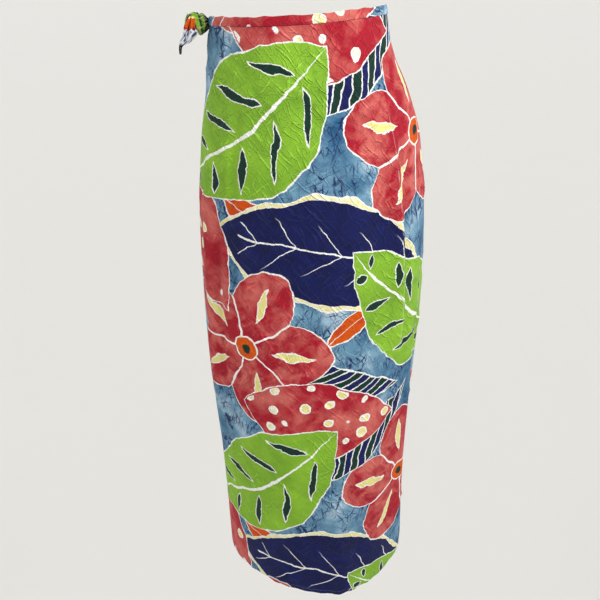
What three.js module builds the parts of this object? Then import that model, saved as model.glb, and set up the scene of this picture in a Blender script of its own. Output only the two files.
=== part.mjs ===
// Wrap skirt: one hemmed rectangle of cloth wound round the body and tied at the hip by its corners.
// Millimetres, +Z up, front towards -Y. The origin is the middle of the waist opening, where it is worn.
//
// A place on the cloth is given by its turn, in degrees along the winding, and its height z:
// turn 0 is the hip at -X, 90 the middle of the back, 180 the hip at +X, 270 the middle of the front
// and 360 the hip at -X again, where the outer end of the cloth laps over the first turn.

import * as THREE from "three";

// ---- driving dimensions ----

const CLOTH = 1.4;                 // wall thickness of the cloth
const SEAM_GAP = 0.3;              // clearance where two pieces meet
const HEM_THICKNESS = 1.2;         // turned hems
const INNER_LAYER_DEPTH = 3.6;     // how far the under layer lies inside the outer one

const WAIST_HEM_HEIGHT = 10;
const BOTTOM_HEM_HEIGHT = 8;
const HEM_LEVEL = -934;            // mean height of the bottom edge
const HEM_WAVES = { rise: 9, count: 3, crestTurn: 308 };
const WAIST_EDGE = { mean: -4.2, tilt: 5.5, sidesUp: 3.2, frontUp: 7.5 };

const RIGHT_SEAM = 180;            // turn at which back and front stretch meet
const SEAM_TURN = 0.11;            // degrees of turn that give the seam gap at the hip

const OUTER_EDGE = [               // turn of the free edge, which swings back from the knot
  { z: 20, turn: 344 },
  { z: -10, turn: 346 },
  { z: -60, turn: 356 },
  { z: -130, turn: 364 },
  { z: -300, turn: 368 },
  { z: -960, turn: 370 },
];

const STEP_IN = { from: 16, to: 32 };   // turns between which the back sinks to the under layer

const SECTIONS = [                 // half sizes and middle of the tube, from the waist down
  { z: 20, side: 121, front: 94, back: 90, x: 1 },
  { z: 0, side: 122.5, front: 95, back: 92, x: 3.5 },
  { z: -50, side: 130, front: 100, back: 103, x: 6.5 },
  { z: -105, side: 145.5, front: 106, back: 119, x: 15 },
  { z: -161, side: 160, front: 113, back: 132, x: 19.5 },
  { z: -205, side: 166, front: 118, back: 138, x: 20 },
  { z: -267, side: 173, front: 122, back: 140, x: 20.5 },
  { z: -402, side: 177.5, front: 130, back: 138, x: 21 },
  { z: -552, side: 174.5, front: 140, back: 142, x: 19 },
  { z: -722, side: 165, front: 152, back: 150, x: 19.5 },
  { z: -960, side: 164, front: 165, back: 161, x: 23 },
];

const FOLDS = [                    // out is millimetres, width and lean degrees, power 1 is a sharp crest
  { name: "pressed crease", at: 223, lean: -6, width: 6, top: -110, bottom: -520, out: 6, power: 1 },
  { name: "hollow beside it", at: 236, lean: -3, width: 9, top: -150, bottom: -560, out: -3, power: 2 },
  { name: "dent under the waist", at: 213, lean: 3, width: 6, top: -10, bottom: -135, out: -3, power: 2 },
  { name: "upper left trough", at: 312, lean: 3, width: 3.5, top: -110, bottom: -270, out: -3.5, power: 2 },
  { name: "long left trough", at: 325, lean: 0, width: 4, top: -240, bottom: -640, out: -4, power: 2 },
  { name: "left ridge", at: 336, lean: 6, width: 6, top: -60, bottom: -880, out: 3.5, power: 2 },
  { name: "middle ridge", at: 288, lean: 10, width: 9, top: -420, bottom: -960, out: 3, power: 2 },
  { name: "hem ripple", at: 256, lean: -4, width: 7, top: -640, bottom: -1040, out: 4, power: 2 },
  { name: "right hem ripple", at: 205, lean: 4, width: 7, top: -560, bottom: -1000, out: 4, power: 2 },
  { name: "right trough", at: 193, lean: -4, width: 5, top: -300, bottom: -780, out: -3.5, power: 2 },
  { name: "lap ridge", at: 33, lean: 5, width: 5, top: -20, bottom: -520, out: 5, power: 2 },
  { name: "lap trough", at: 44, lean: 4, width: 6, top: -60, bottom: -760, out: -4, power: 2 },
  { name: "back left ridge", at: 66, lean: -6, width: 8, top: -360, bottom: -1020, out: 5, power: 2 },
  { name: "back middle trough", at: 92, lean: 3, width: 9, top: -300, bottom: -980, out: -6, power: 2 },
  { name: "back right ridge", at: 121, lean: 7, width: 8, top: -260, bottom: -1030, out: 5, power: 2 },
  { name: "back right trough", at: 149, lean: -3, width: 7, top: -80, bottom: -700, out: -4, power: 2 },
];

const FOLD_FADE = 0.8;             // below 1 a fold keeps its height for more of its length

const KNOT = {
  turn: 350,                       // where it sits on the waist
  z: -12,
  pleats: 7,                       // grooves of the bunched cloth round it
  pleatDepth: 0.7,
  profile: [                       // radius against the distance out from the waist
    { out: 1.5, radius: 6.5 },
    { out: 5, radius: 10.5 },
    { out: 9, radius: 12.6 },
    { out: 13, radius: 11.4 },
    { out: 18, radius: 10.6 },
    { out: 23, radius: 12.4 },
    { out: 28, radius: 11.0 },
    { out: 31.5, radius: 6.0 },
  ],
  wrapFrom: 11.5,                  // the band that is passed round the knot
  wrapTo: 21,
  wrapThickness: 2.6,
};

const FRONT_END = [                // the end that hangs in front, rows from the knot to the tip
  { x: -139, y: -32.2, z: -2, half: 4.5, thick: 2.2 },
  { x: -140.5, y: -37.0, z: -9, half: 6.2, thick: 2.4 },
  { x: -141.5, y: -37.4, z: -16, half: 7.4, thick: 2.6 },
  { x: -142.5, y: -34.5, z: -23, half: 8.2, thick: 3.0 },
  { x: -145, y: -32, z: -30, half: 7.0, thick: 3.2 },
  { x: -150, y: -31, z: -36, half: 4.4, thick: 2.8 },
  { x: -155.5, y: -30.5, z: -41, half: 1.7, thick: 2.2 },
  { x: -158.5, y: -30, z: -46, half: 1.2, thick: 2.0 },
  { x: -160, y: -30, z: -50.5, half: 0.9, thick: 1.6 },
];

const BACK_END = [                 // the other corner, behind the knot
  { x: -145, y: -11.0, z: -2, half: 3.4, thick: 2.2 },
  { x: -146.5, y: -7.5, z: -12, half: 5.0, thick: 2.4 },
  { x: -147.5, y: -8.4, z: -20, half: 5.4, thick: 2.6 },
  { x: -148.5, y: -11.5, z: -27, half: 3.6, thick: 2.4 },
  { x: -149, y: -13, z: -33, half: 1.2, thick: 1.8 },
];

const COLUMNS = { front: 44, back: 40 };
const UNDER_COLUMNS = { first: 7, last: 38 };   // columns of the front that the under layer lies behind
const LAPPED_COLUMNS = 5;          // columns of the back stretch that the lap covers at the waist
const ROWS = 16;
const ROW_CROWDING = 1.25;         // rows are closer together near the waist
const KNOT_AROUND = 21;
const END_AROUND = 8;

// ---- the form of the worn cloth ----

const DEGREE = Math.PI / 180;
const turnSin = (turn) => Math.sin(turn * DEGREE);
const turnCos = (turn) => Math.cos(turn * DEGREE);

// A column of a table at any place along it: a cubic through the rows, each with the slope between
// its neighbours.
function read(rows, along, column, place) {
  const last = rows.length - 1;
  const sign = Math.sign(rows[last][along] - rows[0][along]);
  let i = 0;
  while (i < last - 1 && sign * (place - rows[i + 1][along]) > 0) i += 1;
  const rise = (a, b) => (rows[b][column] - rows[a][column]) / (rows[b][along] - rows[a][along]);
  const slope = (k) => rise(Math.max(k - 1, 0), Math.min(k + 1, last));
  const span = rows[i + 1][along] - rows[i][along];
  const t = Math.min(Math.max((place - rows[i][along]) / span, 0), 1);
  const from = rows[i][column];
  const to = rows[i + 1][column];
  const start = slope(i) * span;
  const end = slope(i + 1) * span;
  return from + t * (start + t * (3 * (to - from) - 2 * start - end + t * (2 * (from - to) + start + end)));
}

const smooth = (from, to, place) => THREE.MathUtils.smoothstep(place, from, to);

// The waist edge rises to the hip at +X and dips at the back; the hem has three slow waves.
function waistHeight(turn) {
  const { mean, tilt, sidesUp, frontUp } = WAIST_EDGE;
  return mean - tilt * turnCos(turn) + sidesUp * turnCos(2 * turn) - frontUp * turnSin(turn);
}

const hemHeight = (turn) =>
  HEM_LEVEL + HEM_WAVES.rise * turnCos(HEM_WAVES.count * (turn - HEM_WAVES.crestTurn));

// How far one fold stands out: a bell across it, fading in and out along it.
function foldAt(fold, turn, z) {
  const along = (fold.top - z) / (fold.top - fold.bottom);
  if (along <= 0 || along >= 1) return 0;
  const middle = fold.at + fold.lean * (along - 0.5);
  let away = (turn - middle) % 360;
  if (away > 180) away -= 360;
  if (away < -180) away += 360;
  const bell = Math.exp(-Math.pow(Math.abs(away) / fold.width, fold.power));
  return fold.out * bell * Math.sin(Math.PI * along) ** FOLD_FADE;
}

// A point of the tube, moved outwards by offset; the section is a half ellipse in front and behind.
function surface(turn, z, offset) {
  const side = read(SECTIONS, "z", "side", z);
  const depth = read(SECTIONS, "z", turnSin(turn) > 0 ? "back" : "front", z);
  const normal = new THREE.Vector2(-turnCos(turn) / side, turnSin(turn) / depth).normalize();
  const whole = ((turn % 360) + 360) % 360;
  const folds = FOLDS.reduce((sum, fold) => sum + foldAt(fold, whole, z), 0);
  return new THREE.Vector3(
    read(SECTIONS, "z", "x", z) - side * turnCos(turn) + normal.x * (offset + folds),
    depth * turnSin(turn) + normal.y * (offset + folds),
    z,
  );
}

// The first turn lies inside the lap and comes out to the outer surface past the free edge.
const layerOffset = (turn) => -INNER_LAYER_DEPTH * (1 - smooth(STEP_IN.from, STEP_IN.to, turn));

// ---- closed solids from grids ----

function closedBody(positions, triangles) {
  const geometry = new THREE.BufferGeometry();
  geometry.setAttribute("position", new THREE.Float32BufferAttribute(positions, 3));
  geometry.setIndex(triangles);
  return geometry;
}

// Joins rows of points into one closed body. Each row is a ring; the first and last are capped.
function ringSolid(rings) {
  const around = rings[0].length;
  const positions = rings.flat().flatMap((p) => [p.x, p.y, p.z]);
  const triangles = [];
  for (let i = 0; i + 1 < rings.length; i += 1) {
    for (let j = 0; j < around; j += 1) {
      const a = i * around + j;
      const b = i * around + ((j + 1) % around);
      triangles.push(a, b, b + around, a, b + around, a + around);
    }
  }
  const end = (rings.length - 1) * around;
  for (let j = 1; j + 1 < around; j += 1) {
    triangles.push(0, j + 1, j);
    triangles.push(end, end + j, end + j + 1);
  }
  return closedBody(positions, triangles);
}

// A wall of cloth: point(column, row, layer) on its outer (0) and inner (1) face.
function wallSolid(columns, rows, point) {
  const wide = columns + 1;
  const perFace = wide * (rows + 1);
  const positions = [];
  for (const layer of [0, 1]) {
    for (let j = 0; j <= rows; j += 1) {
      for (let i = 0; i <= columns; i += 1) {
        const p = point(i, j, layer);
        positions.push(p.x, p.y, p.z);
      }
    }
  }
  const triangles = [];
  const quad = (a, b, c, d) => triangles.push(a, b, c, a, c, d);
  const at = (i, j, layer) => layer * perFace + j * wide + i;
  for (let j = 0; j < rows; j += 1) {
    for (let i = 0; i < columns; i += 1) {
      quad(at(i, j, 0), at(i + 1, j, 0), at(i + 1, j + 1, 0), at(i, j + 1, 0));
      quad(at(i, j, 1), at(i, j + 1, 1), at(i + 1, j + 1, 1), at(i + 1, j, 1));
    }
  }
  for (let i = 0; i < columns; i += 1) {
    quad(at(i, 0, 0), at(i, 0, 1), at(i + 1, 0, 1), at(i + 1, 0, 0));
    quad(at(i, rows, 0), at(i + 1, rows, 0), at(i + 1, rows, 1), at(i, rows, 1));
  }
  for (let j = 0; j < rows; j += 1) {
    quad(at(0, j, 0), at(0, j + 1, 0), at(0, j + 1, 1), at(0, j, 1));
    quad(at(columns, j, 0), at(columns, j, 1), at(columns, j + 1, 1), at(columns, j + 1, 0));
  }
  return closedBody(positions, triangles);
}

// Row shares from the waist edge (0) to the hem (1): a row at the foot of the waist hem, one at the
// top of the bottom hem, and the others between them, closer together near the waist.
const waistHemShare = WAIST_HEM_HEIGHT / -HEM_LEVEL;
const bottomHemShare = 1 - BOTTOM_HEM_HEIGHT / -HEM_LEVEL;
const rowShares = [
  0,
  ...Array.from({ length: ROWS - 1 }, (_, k) =>
    THREE.MathUtils.lerp(waistHemShare, bottomHemShare, (k / (ROWS - 2)) ** ROW_CROWDING)),
  1,
];

// A stretch of cloth between two turns, which may vary with the height, over rows given by their
// shares of the way from the waist edge to the hem. It may keep only some of its columns.
function clothWall({ from, to, columns, first = 0, last = columns, shares, offset, thickness }) {
  return wallSolid(last - first, shares.length - 1, (i, j, layer) => {
    const guide = THREE.MathUtils.lerp(0, HEM_LEVEL, shares[j]);
    const turn = THREE.MathUtils.lerp(from(guide), to(guide), (first + i) / columns);
    const z = THREE.MathUtils.lerp(waistHeight(turn), hemHeight(turn), shares[j]);
    return surface(turn, z, offset(turn) - layer * thickness);
  });
}

const group = new THREE.Group();

function add(name, geometry, color) {
  const material = new THREE.MeshStandardMaterial({ color, roughness: 0.82, metalness: 0 });
  const mesh = new THREE.Mesh(geometry, material);
  mesh.name = name;
  group.add(mesh);
}

const outerEdge = (z) => read(OUTER_EDGE, "z", "turn", z);
const LIGHT_BLUE = 0x5f9cc4;
const LIME = 0x86bf35;
const RED = 0xc23a4a;
const NAVY = 0x20235c;
const ORANGE = 0xd9640f;

// ---- the stretches of the wound cloth ----

const frontStretch = {
  from: () => RIGHT_SEAM + SEAM_TURN / 2,
  to: outerEdge,
  columns: COLUMNS.front,
};
const underStretch = { ...frontStretch, ...UNDER_COLUMNS };
const innerSeam = (z) =>
  THREE.MathUtils.lerp(RIGHT_SEAM, outerEdge(z), UNDER_COLUMNS.last / COLUMNS.front) - 360;
const backStretch = {
  from: (z) => innerSeam(z) + SEAM_TURN,
  to: () => RIGHT_SEAM - SEAM_TURN / 2,
  columns: COLUMNS.back,
};

add("front_wrap", clothWall({
  ...frontStretch,
  shares: rowShares,
  offset: () => 0,
  thickness: CLOTH,
}), LIME);

add("back_wrap", clothWall({
  ...backStretch,
  shares: rowShares,
  offset: layerOffset,
  thickness: CLOTH,
}), LIGHT_BLUE);

add("under_wrap", clothWall({
  ...underStretch,
  shares: rowShares,
  offset: () => -INNER_LAYER_DEPTH,
  thickness: CLOTH,
}), RED);

// ---- the hems: round the waist outside the cloth, along the bottom and the free edge inside ----

const waistHemShares = rowShares.slice(0, 2);
const bottomHemShares = rowShares.slice(-2);
const sideHemShares = rowShares.slice(0, -1);
sideHemShares[sideHemShares.length - 1] -= 2 * SEAM_GAP / -HEM_LEVEL;
const outsideCloth = SEAM_GAP + HEM_THICKNESS;
const insideCloth = -CLOTH - SEAM_GAP;

add("waist_hem_front", clothWall({
  ...frontStretch,
  shares: waistHemShares,
  offset: () => outsideCloth,
  thickness: HEM_THICKNESS,
}), RED);

add("waist_hem_back", clothWall({
  ...backStretch,
  first: LAPPED_COLUMNS,
  shares: waistHemShares,
  offset: (turn) => layerOffset(turn) + outsideCloth,
  thickness: HEM_THICKNESS,
}), LIGHT_BLUE);

add("bottom_hem_front", clothWall({
  ...frontStretch,
  shares: bottomHemShares,
  offset: () => insideCloth,
  thickness: HEM_THICKNESS,
}), NAVY);

add("bottom_hem_back", clothWall({
  ...backStretch,
  shares: bottomHemShares,
  offset: (turn) => layerOffset(turn) + insideCloth,
  thickness: HEM_THICKNESS,
}), NAVY);

add("side_hem", clothWall({
  ...frontStretch,
  first: COLUMNS.front - 1,
  shares: sideHemShares,
  offset: () => insideCloth,
  thickness: HEM_THICKNESS,
}), LIGHT_BLUE);

// ---- the knot and its two ends ----

const knotSeat = surface(KNOT.turn, KNOT.z, 0);
const knotAxis = surface(KNOT.turn, KNOT.z, 1).sub(knotSeat);
const knotAcross = new THREE.Vector3(0, 0, 1).cross(knotAxis);

// A point round the knot's axis: out along it, then by angle and radius across it.
function knotPoint(out, angle, radius) {
  return knotSeat.clone()
    .addScaledVector(knotAxis, out)
    .addScaledVector(knotAcross, radius * Math.cos(angle))
    .add(new THREE.Vector3(0, 0, radius * Math.sin(angle)));
}

function knotRadius(out, angle) {
  const pleat = Math.cos(KNOT.pleats * angle + 0.12 * out);
  return read(KNOT.profile, "out", "radius", out) + KNOT.pleatDepth * pleat;
}

const angles = (count) => Array.from({ length: count }, (_, k) => (2 * Math.PI * k) / count);

add("knot", ringSolid(KNOT.profile.map(({ out }) =>
  angles(KNOT_AROUND).map((angle) => knotPoint(out, angle, knotRadius(out, angle))))), 0x5f7a2a);

// The band round the knot: a closed strip, thin at its two rims, standing clear of the bunched cloth.
function knotWrap() {
  const around = KNOT_AROUND;
  const stations = [0, 0.5, 1, 1, 0.5, 0];
  const heights = [0.45, 1, 0.45, 0, 0, 0];
  const positions = [];
  for (const angle of angles(around)) {
    stations.forEach((share, k) => {
      const out = THREE.MathUtils.lerp(KNOT.wrapFrom, KNOT.wrapTo, share);
      const reach = read(KNOT.profile, "out", "radius", out) + KNOT.pleatDepth + SEAM_GAP;
      const p = knotPoint(out, angle, reach + heights[k] * KNOT.wrapThickness);
      positions.push(p.x, p.y, p.z);
    });
  }
  const triangles = [];
  const count = stations.length;
  for (let i = 0; i < around; i += 1) {
    for (let k = 0; k < count; k += 1) {
      const a = i * count + k;
      const b = i * count + ((k + 1) % count);
      const c = ((i + 1) % around) * count + ((k + 1) % count);
      const d = ((i + 1) % around) * count + k;
      triangles.push(a, c, b, a, d, c);
    }
  }
  return closedBody(positions, triangles);
}

add("knot_band", knotWrap(), LIME);

// A hanging end: flat ovals along its rows.
function hangingEnd(rows) {
  return ringSolid(rows.map((row) => angles(END_AROUND).map((angle) => new THREE.Vector3(
    row.x + row.half * Math.cos(angle),
    row.y - (row.thick / 2) * Math.sin(angle),
    row.z,
  ))));
}

add("tie_end_front", hangingEnd(FRONT_END), 0x9aa6b8);
add("tie_end_back", hangingEnd(BACK_END), ORANGE);

export default group;
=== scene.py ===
"""Wrap skirt: one hemmed length of batik rayon, wound round the body and tied at the hip by its corners.

A place on the cloth is given by its turn, in degrees along the winding, and its height z in metres.
Turn 0 is the hip at -X, 90 the middle of the back, 180 the hip at +X, 270 the middle of the front,
and 360 the hip at -X again, where the free edge laps over the first turn. The origin is the middle
of the waist opening. Tables are in millimetres and degrees, and are turned into metres once.
"""

import bpy
import numpy as np
from bpy.props import FloatProperty, FloatVectorProperty, PointerProperty
from mathutils import Matrix, Vector


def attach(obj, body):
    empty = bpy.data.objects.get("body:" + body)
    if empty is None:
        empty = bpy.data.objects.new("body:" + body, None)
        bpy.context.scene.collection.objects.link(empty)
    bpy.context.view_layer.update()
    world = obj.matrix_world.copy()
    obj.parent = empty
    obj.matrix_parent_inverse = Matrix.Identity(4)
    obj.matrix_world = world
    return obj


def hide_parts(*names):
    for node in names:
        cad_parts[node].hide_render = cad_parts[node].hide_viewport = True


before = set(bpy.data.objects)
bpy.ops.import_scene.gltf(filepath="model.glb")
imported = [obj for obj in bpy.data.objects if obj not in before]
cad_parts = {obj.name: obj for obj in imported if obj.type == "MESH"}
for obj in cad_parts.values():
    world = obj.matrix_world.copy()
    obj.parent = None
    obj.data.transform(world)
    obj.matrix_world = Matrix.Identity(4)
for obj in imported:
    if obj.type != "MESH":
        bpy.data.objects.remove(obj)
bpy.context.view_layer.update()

bl_info = {
    "name": "Wrap Skirt",
    "version": (1, 0, 0),
    "blender": (4, 5, 0),
    "location": "View3D > Sidebar > Wrap Skirt",
    "description": "Makes a batik wrap skirt tied at the hip, piece by piece",
    "category": "Add Mesh",
}

MM = 0.001

# ---- the worn form: the same values as the part's source ----

SECTIONS = np.array([  # z, half width, half depth in front, half depth behind, middle in x
    (-960, 164, 165, 161, 23),
    (-722, 165, 152, 150, 19.5),
    (-552, 174.5, 140, 142, 19),
    (-402, 177.5, 130, 138, 21),
    (-267, 173, 122, 140, 20.5),
    (-205, 166, 118, 138, 20),
    (-161, 160, 113, 132, 19.5),
    (-105, 145.5, 106, 119, 15),
    (-50, 130, 100, 103, 6.5),
    (0, 122.5, 95, 92, 3.5),
    (20, 121, 94, 90, 1),
]) * MM

OUTER_EDGE = np.array([  # z in metres, turn of the free edge
    (-0.960, 370),
    (-0.300, 368),
    (-0.130, 364),
    (-0.060, 356),
    (-0.010, 346),
    (0.020, 344),
])

FOLDS = (  # turn, lean, width in degrees, top and bottom z, how far out, power (1 is a sharp crest)
    (223, -6, 6, -110, -520, 6, 1),      # pressed crease
    (218.5, -6, 2.2, -100, -540, -3.6, 2),  # sharp dip on its far side
    (236, -3, 9, -150, -560, -3, 2),     # hollow on its near side
    (213, 3, 6, -10, -135, -3, 2),       # dent under the waist
    (312, 3, 3.5, -110, -270, -3.5, 2),  # upper left trough
    (325, 0, 4, -240, -640, -4, 2),      # long left trough
    (336, 6, 6, -60, -880, 3.5, 2),      # left ridge
    (288, 10, 9, -420, -960, 3, 2),      # middle ridge
    (256, -4, 7, -640, -1040, 4, 2),     # hem ripple
    (205, 4, 7, -560, -1000, 4, 2),      # right hem ripple
    (193, -4, 5, -300, -780, -3.5, 2),   # right trough
    (33, 5, 5, -20, -520, 5, 2),         # lap ridge
    (44, 4, 6, -60, -760, -4, 2),        # lap trough
    (66, -6, 8, -360, -1020, 5, 2),      # back left ridge
    (92, 3, 9, -300, -980, -6, 2),       # back middle trough
    (121, 7, 8, -260, -1030, 5, 2),      # back right ridge
    (149, -3, 7, -80, -700, -4, 2),      # back right trough
)
FOLD_FADE = 0.8        # power of the sine by which a fold fades along itself
FOLD_DEPTH = 1.35      # how much deeper a fold is here than in the part's source
PRESSED_TUCK = 0.013   # how much cloth is hidden in the pressed crease

CREASES = (  # turn and z of one end, turn and z of the other, width, how far out
    (254, -14, 237.6, -57, 2.6, 1.0),
    (267, -18, 263.6, -44, 2.4, 0.9),
    (263.6, -44, 259, -93, 2.8, 1.2),
    (283.8, -56, 259, -93, 2.6, 1.1),
    (291.8, -101, 283.3, -134, 2.6, 0.9),
    (227, -67, 219, -89, 4.5, -1.8),
    (243.3, -68, 214.7, -125, 3.0, 1.2),
    (211, -109, 214, -162, 3.6, -1.5),
    (283.8, -158, 277, -192, 2.4, 0.9),
    (291, -209, 277, -233, 2.4, 1.0),
    (315.6, -187, 315, -242, 3.0, 1.2),
    (249.5, -175, 220.5, -224, 3.0, 1.1),
    (254.6, -313, 236, -298, 3.0, 0.9),
    (250, -380, 244, -403, 3.4, -0.9),
    (322, -460, 316, -548, 3.2, 1.3),
    (334, -57, 323, -107, 3.6, 1.5),
    (329, -37, 308, -78, 3.2, 1.4),
    (337, -29, 314, -41, 3.0, 1.3),
    (320, -22, 292, -33, 2.6, 0.9),
    (303.4, -53, 297.8, -92, 2.8, 0.9),
    (275, -52, 272.5, -79, 3.0, -0.8),
    (253.5, -53, 248, -83, 3.0, 0.8),
    (252.7, -100, 236.5, -131, 3.2, 1.2),
    (268, -111, 253.5, -146, 3.0, 1.0),
    (275.7, -160, 261, -166, 2.6, 0.8),
    (309.5, -254, 301, -295, 3.0, 1.0),
    (230, -251, 226, -305, 3.6, -1.2),
    (277, -548, 262, -535, 3.0, 0.9),
    (253.5, -539, 238, -592, 3.6, 1.0),
    (302, -612, 292, -655, 3.2, 0.9),
    (262, -668, 250, -655, 3.0, 0.7),
    (281, -742, 258, -728, 3.2, 0.8),
    (240, -735, 232, -790, 3.6, -1.0),
    (305, -770, 294, -812, 3.4, 0.9),
    (326, -700, 321, -772, 3.6, -1.1),
    (212, -420, 205, -486, 3.6, 1.1),
    (199, -214, 206, -268, 3.2, 1.0),
    (189, -120, 200, -176, 3.4, 1.1),
    (334, -330, 329, -392, 3.4, 1.1),
    (343, -520, 338, -604, 3.8, -1.2),
    (268, -860, 249, -878, 3.4, 0.8),
    (216, -812, 209, -868, 3.8, 1.0),
    (254, -84, 243, -112, 7.0, -1.7),
    (236, -86, 220, -110, 6.0, -1.6),
    (247, -54, 232, -84, 7.0, 1.5),
    (300, -58, 297, -112, 8.0, -1.4),
    (283, -118, 262, -146, 8.0, 1.2),
    (270, -196, 240, -232, 8.0, -1.3),
    (305, -236, 286, -262, 9.0, 1.2),
    (246, -286, 224, -262, 8.0, -1.4),
    (300, -352, 276, -392, 9.0, -1.1),
    (240, -452, 222, -500, 8.0, 1.3),
    (316, -576, 296, -622, 9.0, -1.2),
    (262, -596, 240, -640, 9.0, 1.1),
    (290, -700, 262, -752, 9.0, -1.1),
    (236, -800, 220, -852, 8.0, -1.2),
)

KNOT_GATHERS = (  # turn and z where a gather that starts at the knot ends, its width, how far out
    (338, -78, 3.4, 1.7),
    (333, -58, 2.8, -1.2),
    (328, -52, 3.0, 1.6),
    (321, -36, 2.6, -1.0),
    (314, -30, 2.6, 1.2),
    (344, -112, 3.6, 1.5),
    (347, -86, 3.0, -1.3),
    (2, -66, 3.2, 1.5),
    (11, -48, 3.0, -1.3),
    (19, -40, 3.2, 1.6),
    (28, -31, 2.8, 1.2),
    (14, -92, 3.6, 1.3),
)

SMALL_CREASES = (  # seed, how many, how many of them soft, first and last turn, lies in degrees
    (41, 120, 34, (8, 178), (38, 52, 66, 96, 118, 130, 145)),
    (17, 130, 26, (186, 342), (120, 129, 136, 150, 42, 60)),
)

KNOT_PROFILE = np.array([  # distance out from the waist, radius
    (-1.0, 5.4),
    (1.5, 6.8),
    (5, 10.5),
    (9, 12.6),
    (13, 11.4),
    (18, 10.6),
    (23, 12.4),
    (28, 11.0),
    (31, 7.0),
    (32.4, 2.6),
]) * MM

FRONT_END = np.array([  # middle of each row from the knot to the tip, half width, thickness
    (-137.5, -27.0, 0.5, 4.0, 4.4),
    (-138.6, -32.2, -2, 5.4, 5.0),
    (-140.6, -36.4, -9, 6.6, 5.6),
    (-141.6, -37.0, -16, 8.0, 6.4),
    (-141.8, -35.2, -23, 10.0, 7.4),
    (-145.8, -33.0, -30, 9.6, 7.6),
    (-150.6, -31.6, -35, 7.4, 6.2),
    (-155.4, -30.8, -38.4, 3.6, 4.0),
    (-157.3, -30.3, -42, 2.4, 3.0),
    (-157.8, -30, -46.5, 2.0, 2.6),
    (-158.4, -30, -50.5, 1.2, 1.8),
]) * MM

BACK_END = np.array([
    (-144, -14.0, 0, 2.6, 2.6),
    (-145, -11.0, -3, 3.4, 2.4),
    (-146.5, -7.9, -12, 5.0, 2.6),
    (-147.5, -8.6, -20, 5.4, 2.8),
    (-148.5, -11.5, -27, 3.6, 2.4),
    (-149, -13, -33, 1.0, 1.6),
]) * MM

RIGHT_SEAM = 180.0
UNDER_END = 210.0      # turn, one winding back, where the inner end of the cloth lies
FRONT_COLUMN_SHARE = 38 / 44
INNER_LAYER_DEPTH = 3.6 * MM
COMES_OUT = 16.0       # turn past the free edge where that layer starts to come out, and over how much
WAIST_EDGE = (-4.2, -5.5, 3.2, -7.5)  # mean height, and terms in cos, cos of twice, and sin of the turn
HEM_LEVEL = -0.934
HEM_WAVE = 0.009       # height of its three slow waves
HEM_RIPPLE = 0.0011    # and of the small waves on them
STRETCH_WIDTH = {"front_cloth": 0.53, "back_cloth": 0.57, "under_cloth": 0.36}  # laid flat
KNOT_TURN = 350.0
KNOT_Z = -0.012
KNOT_RADIUS = 0.0115   # by which its angle is laid flat
WAIST_HEM_START = -9.6


# ---- what a user would change ----

def srgb(red, green, blue):
    """A colour given as 0 to 255 numbers, as linear light: each number to the power 2.4 past its toe."""
    share = np.array([red, green, blue]) / 255
    light = np.where(share <= 0.04045, share / 12.92, ((share + 0.055) / 1.055) ** 2.4)
    return tuple(float(x) for x in light)


def length_property(name, description, default):
    """A length in metres with room to change it either way."""
    return FloatProperty(
        name=name, description=description, default=default, min=0.0, subtype="DISTANCE", unit="LENGTH"
    )


def colour_property(name, description, default):
    """An ink or finish colour."""
    return FloatVectorProperty(
        name=name, description=description, default=default, size=3, min=0.0, max=1.0, subtype="COLOR"
    )


class SkirtSizes(bpy.types.PropertyGroup):
    """Sizes of the cloth, its sewing and its print."""

    cloth_thickness: length_property("Cloth thickness", "Thickness of the rayon", 0.0005)
    waist_hem: length_property("Waist hem", "Height of the turned hem at the waist", 0.010)
    bottom_hem: length_property("Bottom hem", "Height of the turned hem at the bottom edge", 0.008)
    side_hem: length_property("Side hem", "Width of the turned hem on the free edge", 0.010)
    grid_step: length_property("Grid step", "Distance between the points of the cloth", 0.0033)
    stitch: length_property("Stitch length", "Length of one machine stitch", 0.0024)
    stitch_gap: length_property("Stitch gap", "Distance between two stitches", 0.0009)
    thread: length_property("Thread", "Diameter of the sewing thread", 0.00038)
    repeat_width: length_property("Repeat width", "Width of one repeat of the print", 0.60)
    repeat_height: length_property("Repeat height", "Height of one repeat of the print", 0.58)
    wax_line: length_property("Wax line", "Width of the undyed lines round the motifs", 0.0020)
    crease_depth: FloatProperty(
        name="Crease depth", description="How strongly the fine creases stand out",
        default=1.8, min=0.0, max=3.0,
    )


class SkirtColours(bpy.types.PropertyGroup):
    """Inks of the batik, and the thread."""

    lime: colour_property("Lime", "Fresh green of the leaves", srgb(117, 159, 41))
    lime_shade: colour_property("Lime shade", "Deeper wash on the leaves", srgb(96, 136, 34))
    red: colour_property("Red", "Strong wash on the petals", srgb(138, 16, 32))
    pink: colour_property("Pink", "Light wash on the petals", srgb(170, 84, 77))
    navy: colour_property("Navy", "Broad dark leaves and the cracks", srgb(10, 18, 69))
    # Deep navy is also painted shade, at the knot's root and in its pleats, besides the print's dark wash.
    deep_navy: colour_property("Deep navy", "Dark wash, and the folds of the knot", srgb(8, 12, 44))
    sky: colour_property("Sky", "Light wash of the ground", srgb(99, 136, 156))
    sea: colour_property("Sea", "Deep wash of the ground", srgb(30, 72, 104))
    orange: colour_property("Orange", "Small leaves", srgb(174, 68, 0))
    rust: colour_property("Rust", "Dark wash on the small leaves", srgb(158, 34, 12))
    pine: colour_property("Pine", "Dark green strokes", srgb(10, 40, 30))
    cream: colour_property("Cream", "Pale yellow strokes", srgb(192, 184, 116))
    wax: colour_property("Wax", "Undyed cloth where the wax lay", srgb(204, 204, 200))
    mist: colour_property("Mist", "Pale grey blue, of the loose end too", srgb(192, 197, 206))
    thread: colour_property("Thread", "Sewing thread", srgb(92, 108, 138))
    floor: colour_property("Floor", "Studio floor", srgb(240, 238, 234))


def light_property(name, description, default):
    """The strength of a light."""
    return FloatProperty(name=name, description=description, default=default, min=0.0)


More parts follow.
